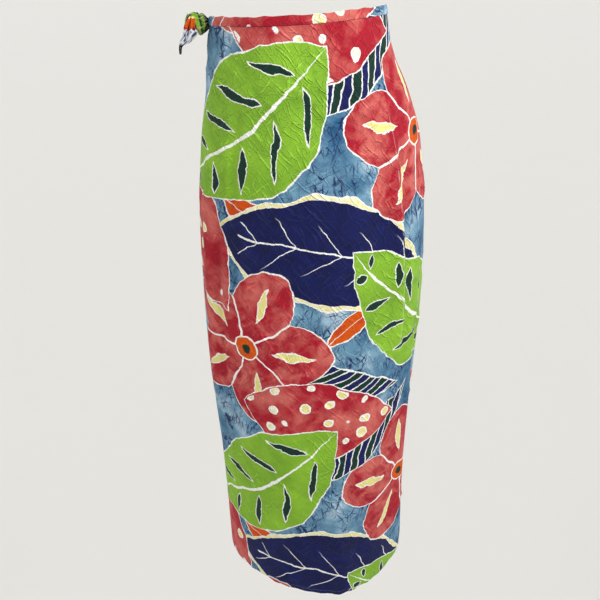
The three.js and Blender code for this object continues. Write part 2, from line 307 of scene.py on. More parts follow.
class StudioLight(bpy.types.PropertyGroup):
    """Strength of the soft lights."""

    key: light_property("Key", "Soft light from the right", 1.3)
    fill: light_property("Fill", "Soft light from the left", 2.05)
    back: light_property("Back", "Soft light from behind", 1.9)
    lamp: light_property("Lamp", "Lamp near the waist, at the right", 17.5)
    sky: light_property("Sky", "Even light from above", 0.24)
    wall: light_property("Wall", "Pale surroundings near the horizon", 0.80)


def sizes():
    return bpy.context.scene.skirt_sizes


def colours():
    return bpy.context.scene.skirt_colours


def all_inks():
    """Every colour by its name."""
    return {name: tuple(getattr(colours(), name)) for name in colours().__annotations__}


# ---- shader maths ----

def one_node(operation, swapped=False):
    """A method that adds one Math node to the wire that it is called on."""
    def method(self, *others):
        return self.math(operation, *((*others, self) if swapped else (self, *others)))
    return method


class Wire:
    """A shader socket that carries a number. Arithmetic on it adds the Math nodes."""

    def __init__(self, desk, socket):
        self.desk = desk
        self.socket = socket

    def math(self, operation, *inputs, clamp=False):
        """The result of a Math node on numbers and wires."""
        node = self.desk.node("Math", {"operation": operation, "use_clamp": clamp}, dict(enumerate(inputs)))
        return Wire(self.desk, node.outputs[0])

    __add__ = __radd__ = one_node("ADD")
    __sub__ = one_node("SUBTRACT")
    __rsub__ = one_node("SUBTRACT", swapped=True)
    __mul__ = __rmul__ = one_node("MULTIPLY")
    __truediv__ = one_node("DIVIDE")
    __pow__ = one_node("POWER")
    __abs__ = one_node("ABSOLUTE")
    less = one_node("LESS_THAN")
    lowest = one_node("MINIMUM")
    highest = one_node("MAXIMUM")
    cos = one_node("COSINE")
    floor = one_node("FLOOR")

    def held(self):
        """The number kept from 0 to 1."""
        return self.math("ADD", self, 0.0, clamp=True)

    def under(self, edge, soft):
        """1 where the number is below edge and 0 above it, over a soft border."""
        return ((edge - self) / soft + 0.5).held()

    def wrapped(self, half):
        """The number brought into -half to half by whole steps."""
        return self.math("WRAP", self, half, -half)


class Desk:
    """The node tree of one material, and the few ways in which nodes are added to it."""

    def __init__(self, name):
        self.material = bpy.data.materials.new(name)
        self.material.use_nodes = True
        self.tree = self.material.node_tree
        self.tree.nodes.clear()

    def node(self, kind, settings=None, inputs=None):
        """Adds a node of a kind: first its settings, then the values or links of its sockets."""
        made = self.tree.nodes.new("ShaderNode" + kind)
        for key, value in (settings or {}).items():
            if key == "stops":
                self._set_stops(made.color_ramp, value)
            else:
                setattr(made, key, value)
        for key, value in (inputs or {}).items():
            socket = made.inputs[key]
            if isinstance(value, Wire):
                self.tree.links.new(value.socket, socket)
            elif isinstance(value, bpy.types.NodeSocket):
                self.tree.links.new(value, socket)
            else:
                socket.default_value = value
        return made

    @staticmethod
    def _set_stops(ramp, stops):
        while len(ramp.elements) < len(stops):
            ramp.elements.new(0.5)
        for element, (place, colour) in zip(ramp.elements, stops):
            element.position = place
            element.color = (*colour, 1.0)

    def mixed(self, share, first, second):
        """first where share is 0 and second where it is 1, for colours."""
        first = (*first, 1.0) if isinstance(first, tuple) else first
        second = (*second, 1.0) if isinstance(second, tuple) else second
        node = self.node("Mix", {"data_type": "RGBA"}, {0: share, 6: first, 7: second})
        return node.outputs[2]

    def chosen(self, share, first, second):
        """The same for numbers."""
        node = self.node("Mix", {"data_type": "FLOAT"}, {0: share, 2: first, 3: second})
        return Wire(self, node.outputs[0])

    def vector(self, operation, *values):
        """A Vector Math node's vector."""
        return self.node("VectorMath", {"operation": operation}, dict(enumerate(values))).outputs[0]

    def turned(self, place, lie):
        """A vector turned about Z by an angle in degrees."""
        inputs = {"Vector": place, "Angle": float(np.radians(lie))}
        return self.node("VectorRotate", {"rotation_type": "Z_AXIS"}, inputs).outputs[0]

    def shaken(self, place, scale, reach, start=None):
        """Places moved by a noise of them, up to half of reach each way. start is moved in their stead."""
        drift = self.vector("SUBTRACT", self.noise(place, scale).outputs[1], (0.5, 0.5, 0.5))
        return self.vector("MULTIPLY_ADD", drift, (reach, reach, 0.0), place if start is None else start)

    def parts(self, vector):
        """The three numbers of a vector."""
        node = self.node("SeparateXYZ", None, {0: vector})
        return [Wire(self, socket) for socket in node.outputs]

    def joined(self, x, y, z=0.0):
        """A vector of three numbers."""
        return self.node("CombineXYZ", None, {0: x, 1: y, 2: z}).outputs[0]

    def noise(self, place, scale, detail=2.0, roughness=0.5, distortion=0.0):
        """The noise node, whose Fac and Color are used."""
        return self.node("TexNoise", {"noise_dimensions": "3D"}, {
            "Vector": place, "Scale": scale, "Detail": detail, "Roughness": roughness,
            "Distortion": distortion,
        })

    def grain(self, place, scale, detail=2.0, roughness=0.5, distortion=0.0):
        """Noise as a number, about 0.5 on average."""
        return Wire(self, self.noise(place, scale, detail, roughness, distortion).outputs[0])

    def cells(self, place, scale, feature, randomness=1.0):
        """Distances in a pattern of irregular cells."""
        node = self.node("TexVoronoi", {"feature": feature}, {
            "Vector": place, "Scale": scale, "Randomness": randomness,
        })
        return Wire(self, node.outputs["Distance"])

    def streaks(self, place, lie, gap, width, length):
        """Thin broken lines that lie one way. The cloth is cut into strips a gap wide, each with one line
        at a place of its own, which shows and thickens where a slow noise along it is high."""
        along, across, _ = self.parts(self.turned(place, lie))
        scaled = across / gap + lie
        strip = scaled.floor()
        chance = self.node("TexWhiteNoise", {"noise_dimensions": "1D"}, {"W": strip}).outputs["Value"]
        off = abs(scaled - strip - 0.5 + (Wire(self, chance) - 0.5) * 0.7) * gap
        shown = self.grain(self.joined(along / length, strip * 7.3), 1.0, 1.0)
        return ((shown - 0.45) * 6.0 - off / width).highest(0.0).lowest(1.0)

    def finish(self, colour, roughness, height, bump, **constants):
        """Joins colour, roughness and bump to a surface; the constants are set on its own sockets."""
        relief = self.node("Bump", None, {"Strength": bump[0], "Distance": bump[1], "Height": height})
        surface = self.node("BsdfPrincipled", None, {
            "Base Color": colour, "Roughness": roughness, "Normal": relief.outputs[0],
        })
        for key, value in constants.items():
            surface.inputs[key.replace("_", " ")].default_value = value
        output = self.node("OutputMaterial")
        self.tree.links.new(surface.outputs[0], output.inputs[0])
        return self.material


# ---- the print ----

LEAF_SPOTS = (  # centre across and down in millimetres, lie in degrees, size
    (98, -152, -34, 1.16),
    (-172, -438, 38, 1.10),
)
NAVY_SPOTS = (
    (-40, -322, 16, 1.08),
    (262, -24, -58, 0.74),
)
PETAL_SPOTS = (
    (-174, -166, 12, 1.06),
    (108, -472, 40, 1.10),
)
POD_SPOTS = (
    (216, -300, 62, 1.06),
    (-10, -16, 8, 0.98),
)
FROND_SPOTS = (
    (-66, -74, -28, 1.12),
    (-28, -530, 24, 1.0),
    (268, -424, 84, 0.86),
)
TWIGS = (  # lie in degrees, distance between strokes, their width and length in millimetres
    (97, 8.0, 1.3, 26),
    (66, 9.5, 1.4, 24),
    (122, 10.5, 1.3, 22),
    (28, 15.0, 1.2, 18),
)
SMALL_SPOTS = (
    (-250, -32, 30, 1.0),
    (-262, -300, 74, 0.9),
    (92, -262, 20, 0.95),
    (238, -172, 58, 0.8),
    (-60, -432, -40, 0.84),
    (232, -545, -12, 0.9),
)
LEAF = (0.150, 0.074, 0.020, -0.22)  # half length, half width, bend and skew of each kind
NAVY_LEAF = (0.178, 0.070, -0.024, 0.30)
POD = (0.132, 0.070, 0.012, 0.16)
FROND = (0.118, 0.030, 0.026, 0.10)
SMALL_LEAF = (0.056, 0.021, 0.006, -0.10)
PETAL_REACH = 0.122
FIFTH = np.pi / 5
FROND_BLOCK = 0.0145
SEEDS = 33.0         # seeds in a metre
PEN = 0.0007         # soft border of a drawn line
FINE_PEN = 0.0006
STROKE_RIM = 0.0015  # undyed rim of a short stroke


class Batik:
    """The printed cloth: broad leaves, petals, pods and fronds in wax lines on a washed ground. mottle,
    cloud and patch are noises of about 70, 30 and 14 mm on the flat cloth."""

    def __init__(self, desk):
        self.desk = desk
        self.inks = all_inks()
        self.repeat = (sizes().repeat_width, sizes().repeat_height)
        self.flat = desk.node("UVMap", {"uv_map": "cloth"}).outputs[0]
        drawn = desk.shaken(self.flat, 17.0, 0.022)
        self.place = desk.shaken(self.flat, 120.0, 0.0032, drawn)
        self.mottle = desk.grain(self.flat, 14.0, 3.0, 0.55, 0.4)
        self.cloud = desk.grain(self.flat, 34.0, 3.0, 0.6, 0.8)
        self.patch = desk.grain(self.flat, 70.0, 2.0)
        self.line = (self.patch - 0.5) * 0.004 + sizes().wax_line

    def local(self, spot):
        """Distances along and across a motif from its centre, in the nearest repeat."""
        desk = self.desk
        x, y, lie, size = spot
        away = desk.vector("SUBTRACT", self.place, (x * MM, y * MM, 0.0))
        half = (self.repeat[0] / 2, self.repeat[1] / 2, 1.0)
        near = desk.vector("WRAP", away, half, tuple(-x for x in half))
        along, across, _ = desk.parts(desk.vector("MULTIPLY", desk.turned(near, -lie), (1 / size,) * 3))
        return along, across

    def nearest(self, spots, shape):
        """The motif of a kind that a place is in or nearest to: its own distances, and how far outside."""
        best = None
        for spot in spots:
            along, across = self.local(spot)
            away = shape(along, across) * spot[3]
            if best is None:
                best = (along, across, away)
                continue
            closer = away.less(best[2])
            best = tuple(self.desk.chosen(closer, old, new) for old, new in zip(best, (along, across, away)))
        return best

    @staticmethod
    def leaf_lines(form, along, across):
        """In a leaf: s from -1 at one tip to 1 at the other, how far a place is from the midrib, which is a
        parabola of s, and the half width there, (1 - s^2)(1 + skew s) times the widest."""
        length, width, bend, skew = form
        s = along / length
        return s, across - s * s * bend, (1.0 - s * s) * (1.0 + s * skew) * width

    @staticmethod
    def leaf(form):
        """How far a place is outside a leaf of that form."""
        def away(along, across):
            _, middle, room = Batik.leaf_lines(form, along, across)
            return abs(middle) - room
        return away

    @staticmethod
    def blossom(along, across):
        """Five petals: they reach 0.5 + 0.5 cos(2.1 turn) of the farthest, in each fifth of a turn."""
        fifth = Batik.angle(along, across).wrapped(FIFTH)
        return Batik.reach(along, across) - ((fifth * 2.1).cos() * 0.5 + 0.5) * PETAL_REACH

    @staticmethod
    def reach(along, across):
        """Distance from the centre."""
        return (along * along + across * across) ** 0.5

    @staticmethod
    def angle(along, across):
        """Turn about the centre."""
        return across.math("ARCTAN2", across, along)

    def inked(self, under, away, fill, line=None):
        """Lays a motif over the colour under it: a wax line round it, and its own fill inside."""
        line = self.line if line is None else line
        waxed = self.desk.mixed(away.under(line, PEN), under, self.inks["wax"])
        return self.desk.mixed(away.under(0.0, PEN), waxed, fill)

    def waxed(self, under, share):
        """Undyed cloth where share is 1; batik_material also paints the pressed crease's highlight with it.
        """
        return self.desk.mixed(share, under, self.inks["wax"])

    def washed(self, share, first, second):
        """A wash from one ink to another."""
        return self.desk.mixed(share.held(), self.inks[first], self.inks[second])

    def ground(self):
        """Washed blue with dark cracks and twigs that branch, thicker in some places."""
        desk, inks = self.desk, self.inks
        blue = self.washed(self.mottle * 3.0 - 0.9 + (self.cloud - 0.5) * 1.1, "sea", "sky")
        blue = desk.mixed((self.mottle * 4.0 - 2.2).held() * 0.6, blue, inks["mist"])
        shown = ((desk.grain(self.flat, 24.0, 2.0) - 0.40) * 4.5).held()
        veins = desk.cells(self.place, 42.0, "DISTANCE_TO_EDGE")
        dark = veins.under(shown * 0.045, 0.012) * (self.patch * 8.0 - 3.4).held()
        for lie, gap, width, length in TWIGS:
            line = desk.streaks(self.place, lie, gap * MM, width * MM, length * MM)
            dark = dark.highest((line * 4.0).held() * shown)
        return desk.mixed(dark * 0.92, blue, inks["navy"])

    def veined_leaf(self, under):
        """Lime leaves with a midrib and slanting dark green strokes on both sides."""
        along, across, away = self.nearest(LEAF_SPOTS, self.leaf(LEAF))
        fill = self.washed(self.mottle * 3.0 - 1.0, "lime_shade", "lime")
        s, middle, room = self.leaf_lines(LEAF, along, across)
        side = abs(middle)
        share = side / room.highest(0.004)
        swell = 1.0 - ((share - 0.50) / 0.33) ** 2.0
        slash = abs((along - side * 0.75).wrapped(0.0265)) - swell * (self.cloud * 0.0125 - 0.0004)
        fill = self.inked(fill, slash, self.inks["pine"], STROKE_RIM)
        rib = side - (1.0 - s * s) * 0.0022
        return self.inked(under, away, self.waxed(fill, rib.under(0.0, PEN)))

    def dark_leaf(self, under):
        """Navy leaves with thin undyed veins inside a scalloped cream border."""
        along, across, away = self.nearest(NAVY_SPOTS, self.leaf(NAVY_LEAF))
        middle = abs(self.leaf_lines(NAVY_LEAF, along, across)[1])
        fill = self.washed((self.cloud * 2.6 - 0.9).held() * 0.8, "navy", "deep_navy")
        vein = abs((along - middle * 1.1).wrapped(0.029)) - 0.0009
        veined = vein.under(0.0, FINE_PEN) * middle.under(0.034, 0.012) * away.under(-0.012, 0.004)
        rib = (middle - 0.0013).under(0.0, FINE_PEN) * abs(along).under(0.142, 0.002)
        fill = self.waxed(fill, veined.highest(rib))
        scallop = (along * 110.0).cos() * 0.0024 + (self.patch - 0.5) * 0.006 + 0.0066
        fringe = self.waxed(self.inks["cream"], (self.patch * 3.0 - 1.1).held() * 0.6)
        edged = self.inked(under, away - scallop, fringe, 0.0016)
        return self.inked(edged, away, fill, 0.0008)

    def blossoms(self, under):
        """Red five petalled flowers with a cream stroke in each petal."""
        inks = self.inks
        along, across, away = self.nearest(PETAL_SPOTS, self.blossom)
        fill = self.washed(self.cloud * 3.6 - 1.4 + (self.mottle - 0.5) * 2.6, "red", "pink")
        reach = self.reach(along, across)
        fifth = self.angle(along, across).wrapped(FIFTH)
        wide = (1.0 - ((reach - 0.070) / 0.027) ** 2.0) * 0.0052
        tongue = abs(fifth * reach + (self.cloud - 0.5) * 0.012) - wide
        fill = self.inked(fill, tongue, inks["cream"], STROKE_RIM)
        seam = ((FIFTH - abs(fifth)) * reach).under(0.0014, FINE_PEN) * reach.under(0.078, 0.004)
        fill = self.inked(self.waxed(fill, seam), reach - 0.017, inks["orange"], 0.0022)
        fill = self.desk.mixed(reach.under(0.007, 0.001), fill, inks["pine"])
        return self.inked(under, away, fill)

    def pods(self, under):
        """Pink pods with cream seeds in undyed rings."""
        away = self.nearest(POD_SPOTS, self.leaf(POD))[2]
        fill = self.washed(self.mottle * 4.4 - 1.8 + (self.cloud - 0.5) * 1.8, "red", "pink")
        cell = self.desk.cells(self.place, SEEDS, "F1", 0.55) / SEEDS
        seeds = cell - (self.cloud * 0.005 + 0.0045)
        seed = self.washed(self.patch * 4.0 - 1.9, "cream", "wax")
        return self.inked(under, away, self.inked(fill, seeds.highest(away + 0.004), seed, 0.0020))

    def fronds(self, under):
        """Narrow fronds of slanting navy and dark green blocks."""
        along, across, away = self.nearest(FROND_SPOTS, self.leaf(FROND))
        step = along + across * 0.9
        fill = self.washed(step.wrapped(FROND_BLOCK).less(0.0), "navy", "pine")
        gap = abs(step.wrapped(FROND_BLOCK / 2)).under(0.0011, FINE_PEN)
        return self.inked(under, away, self.waxed(fill, gap))

    def small_leaves(self, under):
        """Small orange leaves with a rust wash."""
        along, across, away = self.nearest(SMALL_SPOTS, self.leaf(SMALL_LEAF))
        fill = self.washed(self.cloud * 3.4 - 1.7, "orange", "rust")
        rib = (abs(self.leaf_lines(SMALL_LEAF, along, across)[1]) - 0.0008).under(0.0, FINE_PEN)
        return self.inked(under, away, self.waxed(fill, rib * 0.75))

    def colour(self):
        """All motifs laid over the ground, from the back to the front."""
        shown = self.ground()
        for motif in (
            self.fronds, self.small_leaves, self.dark_leaf, self.blossoms, self.pods, self.veined_leaf
        ):
            shown = motif(shown)
        return shown


CRINKLES = (  # lie in degrees, distance between lines, their width and length in millimetres, height
    (-48, 9.0, 1.7, 38, 1.0),
    (-58, 5.5, 1.2, 22, 0.7),
    (36, 10.0, 1.5, 30, 0.8),
    (64, 7.0, 1.2, 20, 0.55),
    (-8, 8.0, 1.2, 18, 0.45),
)


def crinkle(desk, place):
    """Crumpled cloth: fine sharp lines that lie in five directions and come and go, and soft facets. They
    are strong near the waist, and fewer and softer towards the hem. The lines are bumps, and batik_material
    paints a highlight along them too."""
    drawn = desk.shaken(place, 24.0, 0.022)
    lines = 0.0
    for lie, gap, width, length, high in CRINKLES:
        lines = desk.streaks(drawn, lie, gap * MM, width * MM, length * MM) * high + lines
    _, down, _ = desk.parts(place)
    # How crumpled the cloth is, and so how strong the lines and their painted highlight are: more near the
    # waist.
    worn = (down * 1.1 + desk.grain(place, 8.0, 1.0) * 2.4).highest(0.25).lowest(1.0)
    return lines * worn, desk.cells(drawn, 40.0, "F1") * (worn * 0.5 + 0.5)


def pressed_crease_highlight(desk, place):
    """A painted highlight in the wax colour along the crest of the pressed crease: a thin broken line at a
    quadratic of the height.
    """
    at, lean, _, top, bottom, _, _ = FOLDS[0]
    share = np.linspace(0.05, 0.95, 12)
    u, v = FLAT.uv(at + lean * (share - 0.5), (top + (bottom - top) * share) * MM).T
    bend, slope, start = np.polyfit(v, u, 2)
    across, down, _ = desk.parts(place)
    off = abs(across - (down * down * bend + down * slope + start))
    inside = down.under(v[0], 0.02) - down.under(v[-1], 0.02)
    return off.under(0.0006, 0.0008) * inside.held() * (desk.grain(place, 60.0, 2.0) * 5.0 - 1.8).held()


MATT_CLOTH = {"Sheen_Weight": 0.03, "Sheen_Roughness": 0.5, "Specular_IOR_Level": 0.12}
PALER = 0.34          # how much undyed cloth the wrong side shows
FINE_WAVES = 9000.0   # radians in a metre of the weave and of the thread's twist


def batik_material(name, wrong_side=False):
    """Matt crinkled rayon with the print, and painted highlights on the crinkle lines and the pressed
    crease; the wrong side is the same print, paler.
    """
    desk = Desk(name)
    batik = Batik(desk)
    colour = batik.colour()
    lines, facets = crinkle(desk, batik.flat)
    # The crinkle lines lighten the colour: a painted highlight on their crests, beside the relief that the
    # bump gives them.
    crest_highlight = desk.vector("MULTIPLY_ADD", colour, (1.5, 1.5, 1.5), (0.005, 0.005, 0.007))
    colour = desk.mixed(lines.held(), colour, crest_highlight)
    # Painted highlight along the pressed crease, in the wax colour.
    colour = batik.waxed(colour, pressed_crease_highlight(desk, batik.flat) * 0.35)
    if wrong_side:
        colour = batik.waxed(colour, PALER)
    height = lines + facets + weave_height(desk, batik.flat) * 0.008
    return desk.finish(colour, 0.74 + (batik.patch - 0.5) * 0.12, height, (1.0, 0.0018), **MATT_CLOTH)


def weave_height(desk, place):
    """Plain weave: the product of two fine waves, one for each direction of thread."""
    across, down, _ = desk.parts(place)
    return (across * FINE_WAVES).cos() * (down * FINE_WAVES).cos()


def scrap_material(name, stops, length, streak, vein=0.58, pleats=0.0):
    """Bunched batik: inks in order along the piece, broken up by streaks along its folds, with thin cream
    lines, most of them where vein is 0.5. A streak is an ink, how much of it and the noise that it starts
    at. pleats is the knot's radius, by which its angle is the flat place across over it; where it is set,
    painted shade in deep navy darkens the valleys of the knot's pleats."""
    desk = Desk(name)
    inks = all_inks()
    uv = desk.node("UVMap", {"uv_map": "cloth"}).outputs[0]
    across, down, _ = desk.parts(uv)
    ragged = desk.grain(uv, 150.0, 3.0) - 0.5
    share = (down / length + ragged * 0.26).held()
    ramp = desk.node("ValToRGB", {"stops": [(place, inks[ink]) for place, ink in stops]}, {0: share})
    ramp.color_ramp.interpolation = "CONSTANT"
    marks = desk.grain(desk.joined(across * 260.0, down * 120.0), 1.0, 3.0, 0.6, 0.9)
    ink, amount, level = streak
    colour = desk.mixed(((marks - level) * 16.0).held() * amount, ramp.outputs[0], inks[ink])
    edges = desk.grain(desk.joined(across * 150.0, down * 90.0 + 3.0), 1.0, 2.0, 0.5, 0.5)
    line = 1.0 - (abs(edges - vein) * 26.0).held()
    colour = desk.mixed(line * 0.7, colour, inks["cream"])
    # Painted shade: deep navy in the valleys of the knot's pleats, which twist as the pleats of bunched()
    # do.
    if pleats:
        sway = (across * (2.0 / pleats) - np.pi / 2).cos() * 0.4 + (down * 240.0 - np.pi / 2).cos() * 0.8
        fold = abs((across * (2.5 / pleats) + down * 34.0 + sway + ragged * 1.2).cos())
        colour = desk.mixed((1.0 - fold * 2.6).held() * 0.8, colour, inks["deep_navy"])
    soft = desk.grain(uv, 240.0, 3.0, 0.6)
    height = desk.cells(desk.vector("MULTIPLY", uv, (2.0, 1.0, 1.0)), 130.0, "F1") + soft * 0.6
    return desk.finish(colour, 0.76 + (soft - 0.5) * 0.1, height, (0.8, 0.0016), **MATT_CLOTH)


def thread_material(name):
    """Twisted polyester thread: fine slanting lines along each stitch."""
    desk = Desk(name)
    ink = tuple(colours().thread)
    where = desk.node("TexCoord").outputs["Object"]
    x, y, z = desk.parts(where)
    twist = ((x + y + z) * FINE_WAVES).cos()
    speck = desk.grain(where, 900.0, 2.0)
    colour = desk.mixed((speck * 2.0 - 0.6).held() * 0.4, ink, tuple(c * 0.72 for c in ink))
    return desk.finish(
        colour, 0.5 + (speck - 0.5) * 0.2, twist, (0.4, 0.0001),
        Sheen_Weight=0.1, Specular_IOR_Level=0.45,
    )


def floor_material(name):
    """Pale matt studio floor with a very faint unevenness."""
    desk = Desk(name)
    ink = tuple(colours().floor)
    where = desk.node("TexCoord").outputs["Object"]
    cloud = desk.grain(where, 1.5, 2.0)
    colour = desk.mixed(cloud * 0.3, ink, tuple(min(c * 1.03, 1.0) for c in ink))
    return desk.finish(colour, 0.9 + (cloud - 0.5) * 0.05, cloud, (0.02, 0.001), Specular_IOR_Level=0.1)


# ---- the form of the worn cloth ----

def vectors(*parts):
    """Arrays of x, y and z or of u and v as one array of vectors."""
    return np.stack(np.broadcast_arrays(*parts), -1)


def walked(points):
    """How far each row of points is along the line through them."""
    steps = np.linalg.norm(np.diff(points, axis=0), axis=1)
    return np.concatenate([[0], np.cumsum(steps)])


def ring(count, closed=False):
    """Angles all the way round, with the first once more at the end if closed."""
    return np.linspace(0, 2 * np.pi, count + closed, endpoint=closed)


def read(rows, column, place):
    """A column of a table at any place: a cubic through the rows, with the slope between neighbours."""
    along, values = rows[:, 0], rows[:, column]
    last = len(along) - 1
    before, after = np.maximum(np.arange(last + 1) - 1, 0), np.minimum(np.arange(last + 1) + 1, last)
    slope = (values[after] - values[before]) / (along[after] - along[before])
    i = np.clip(np.searchsorted(along, place, side="right") - 1, 0, last - 1)
    span = along[i + 1] - along[i]
    t = np.clip((place - along[i]) / span, 0.0, 1.0)
    start, end = slope[i] * span, slope[i + 1] * span
    rise = values[i + 1] - values[i]
    bend = 3 * rise - 2 * start - end + t * (start + end - 2 * rise)
    return values[i] + t * (start + t * bend)


def waist_height(turn):
    """The waist edge rises to the hip at +X and dips at the back: cosine and sine terms of the turn."""
    a = np.radians(turn)
    mean, once, twice, aside = WAIST_EDGE
    return (mean + once * np.cos(a) + twice * np.cos(2 * a) + aside * np.sin(a)) * MM


def hem_height(turn):
    """The bottom edge has three slow waves, with 26 and 41 small ones on them whose phases wander."""
    a = np.radians(turn)
    wide = np.cos(26 * a + 2 * np.sin(3 * a)) * np.cos(2 * a + 1)
    ripple = wide + 0.7 * np.cos(41 * a + 3 * np.sin(2 * a))
    return HEM_LEVEL + HEM_WAVE * np.cos(3 * np.radians(turn - 308)) + HEM_RIPPLE * ripple


def free_edge(z):
    """The turn of the outer end of the cloth at a height."""
    return read(OUTER_EDGE, 1, z)


def inner_seam(z):
    """Where the back stretch starts, behind the front, one winding back."""
    return RIGHT_SEAM + (free_edge(z) - RIGHT_SEAM) * FRONT_COLUMN_SHARE - 360


def tube(turn, z):
    """The smooth section at a height, a half ellipse in front and one behind: points and outward normals."""
    a, z = np.broadcast_arrays(np.radians(turn), z)
    side = read(SECTIONS, 1, z)
    depth = np.where(np.sin(a) > 0, read(SECTIONS, 3, z), read(SECTIONS, 2, z))
    normal = vectors(-np.cos(a) / side, np.sin(a) / depth, 0.0)
    normal /= np.linalg.norm(normal, axis=-1, keepdims=True)
    return vectors(read(SECTIONS, 4, z) - side * np.cos(a), depth * np.sin(a), z), normal


def fold_height(turn, z):
    """The main folds: each a bell across it, fading in and out along it."""
    total = np.zeros(np.broadcast(turn, z).shape)
    for at, lean, width, top, bottom, out, power in FOLDS:
        along = (top * MM - z) / ((top - bottom) * MM)
        inside = (along > 0) & (along < 1)
        away = (turn - at - lean * (along - 0.5) + 180) % 360 - 180
        bell = np.exp(-((np.abs(away) / width) ** power))
        fade = np.sin(np.pi * np.clip(along, 0, 1)) ** FOLD_FADE
        total += np.where(inside, FOLD_DEPTH * out * MM * bell * fade, 0)
    return total


LEVEL_STEP = 0.01
WAIST_ROW = 3  # the level of the waist in the table of lengths


class FlatCloth:
    """The cloth laid flat: how far round and how far down each place of the tube lies, in metres."""

    def __init__(self):
        self.turns = np.arange(-170.0, 396.0, 1.0)
        self.levels = np.arange(WAIST_ROW * LEVEL_STEP, -0.98, -LEVEL_STEP)
        point, _ = tube(self.turns[None, :], self.levels[:, None])
        steps = np.linalg.norm(np.diff(point, axis=1), axis=2)
        self.round = np.concatenate([np.zeros((len(self.levels), 1)), np.cumsum(steps, 1)], 1)
        front = int(np.argmin(abs(self.turns - 270)))
        self.round -= self.round[:, front:front + 1]
        drops = np.linalg.norm(np.diff(point, axis=0), axis=2)
        self.down = np.concatenate([np.zeros((1, len(self.turns))), np.cumsum(drops, 0)], 0)
        self.down -= self.down[WAIST_ROW:WAIST_ROW + 1]

    def _read(self, table, turn, z):
        i = np.clip(turn - self.turns[0], 0, len(self.turns) - 1.001)
        j = np.clip((self.levels[0] - z) / LEVEL_STEP, 0, len(self.levels) - 1.001)
        i, j = np.broadcast_arrays(i, j)
        a, b = i.astype(int), j.astype(int)
        s, t = i - a, j - b
        upper = table[b, a] * (1 - s) + table[b, a + 1] * s
        lower = table[b + 1, a] * (1 - s) + table[b + 1, a + 1] * s
        return upper * (1 - t) + lower * t

    def across(self, turn, z):
        return self._read(self.round, turn, z)

    def uv(self, turn, z):
        """Across and up on the flat cloth, from the middle of the front at the waist. Past the pressed
        crease the print is further on by what is tucked into it, a sine of the way down it."""
        at, lean, _, top, bottom, _, _ = FOLDS[0]
        along = np.clip((top * MM - z) / ((top - bottom) * MM), 0, 1)
        past = np.clip(at + lean * (along - 0.5) - 1.2 - turn, 0, 1)
        tucked = PRESSED_TUCK * np.sin(np.pi * along) * past
        return vectors(self.across(turn, z) - tucked, -self._read(self.down, turn, z))


FLAT = FlatCloth()


def made_up_creases():
    """Small creases between the placed ones and on the sides that are out of sight, from fixed seeds."""
    found = []
    for seed, count, soft, turns, lies in SMALL_CREASES:
        draw = np.random.default_rng(seed)
        turn = draw.uniform(*turns, count)
        z = draw.uniform(-900, -20, count)
        lie = np.radians(draw.choice(lies, count) + draw.normal(0, 8, count))
        length = draw.uniform(22, 80, count)
        width = draw.uniform(2.4, 4.0, count)
        width[:soft] *= 2.3
        out = draw.uniform(0.5, 1.4, count) * draw.choice([1, 1, -1], count)
        away = turn + np.cos(lie) * length / 2.6
        found.append(np.stack([turn, z, away, z - np.sin(lie) * length, width, out], 1))
    return np.concatenate(found)


def gathers():
    """The gathers that run out from the knot, as creases that start at it."""
    rows = []
    for turn, z, width, out in KNOT_GATHERS:
        knot = KNOT_TURN if turn > RIGHT_SEAM else KNOT_TURN - 360
        rows.append((knot + (turn - knot) * 0.1, KNOT_Z / MM * 0.9 + z * 0.1, turn, z, width, out))
    return rows


ALL_CREASES = np.array([*CREASES, *gathers(), *made_up_creases()])


def crease_height(turn, z):
    """The fine creases: each a ridge or trough round a line on the flat cloth, fading to its ends."""
    across = FLAT.across(turn, z)
    total = np.zeros(across.shape)
    first, last = (FLAT.across(*(ALL_CREASES[:, k:k + 2] * (1, MM)).T) for k in (0, 2))
    for u0, u1, (_, z0, _, z1, width, out) in zip(first, last, ALL_CREASES):
        du, dz = u1 - u0, (z1 - z0) * MM
        length = np.hypot(du, dz)
        x, y = across - u0, z - z0 * MM
        along = (x * du + y * dz) / length ** 2
        bow = 0.06 * length * np.sin(np.pi * np.clip(along, 0, 1))
        off = (x * dz - y * du) / length + bow
        near = (along > 0) & (along < 1) & (np.abs(off) < 4 * width * MM)
        if not near.any():
            continue
        bell = np.exp(-((np.abs(off[near]) / (width * MM)) ** 1.25))
        total[near] += out * MM * bell * np.sin(np.pi * along[near]) ** 0.7
    return total * sizes().crease_depth


def layer_offset(turn):
    """The first turn lies inside the lap and comes out past the free edge, by 3 t^2 - 2 t^3 of the way."""
    t = np.clip((turn - COMES_OUT) / COMES_OUT, 0, 1)
    return -INNER_LAYER_DEPTH * (1 - t * t * (3 - 2 * t))


def cloth_point(turn, z, offset):
    """A point of the worn cloth, moved outwards by offset and by the folds and creases there."""
    point, normal = tube(turn, z)
    out = offset + fold_height(turn, z) + crease_height(turn, z)
    return point + normal * out[..., None]


def cloth_grid(start, stop, columns, rows, top=0.0, bottom=1.0):
    """Turns and heights over a stretch: rows are shares of the way from the waist edge to the hem."""
    share = np.linspace(top, bottom, rows + 1)[:, None]
    guide = share * HEM_LEVEL
    across = np.linspace(0, 1, columns + 1)[None, :]
    turn = start(guide) + (stop(guide) - start(guide)) * across
    z = waist_height(turn) + (hem_height(turn) - waist_height(turn)) * share
    return turn, z


# ---- meshes from grids of points ----

def grid_faces(rows, columns, around, loop, stride):
    """Corners of the quads of a grid, row by row. stride is how many points a row has in the list."""
    i = np.arange(rows if loop else rows - 1)[:, None]
    j = np.arange(columns if around else columns - 1)[None, :]
    below = (i + 1) % rows if stride == columns else i + 1
    right = (j + 1) % columns if stride == columns else j + 1
    corners = (i * stride + j, i * stride + right, below * stride + right, below * stride + j)
    return np.stack(np.broadcast_arrays(*corners), -1).reshape(-1, 4)


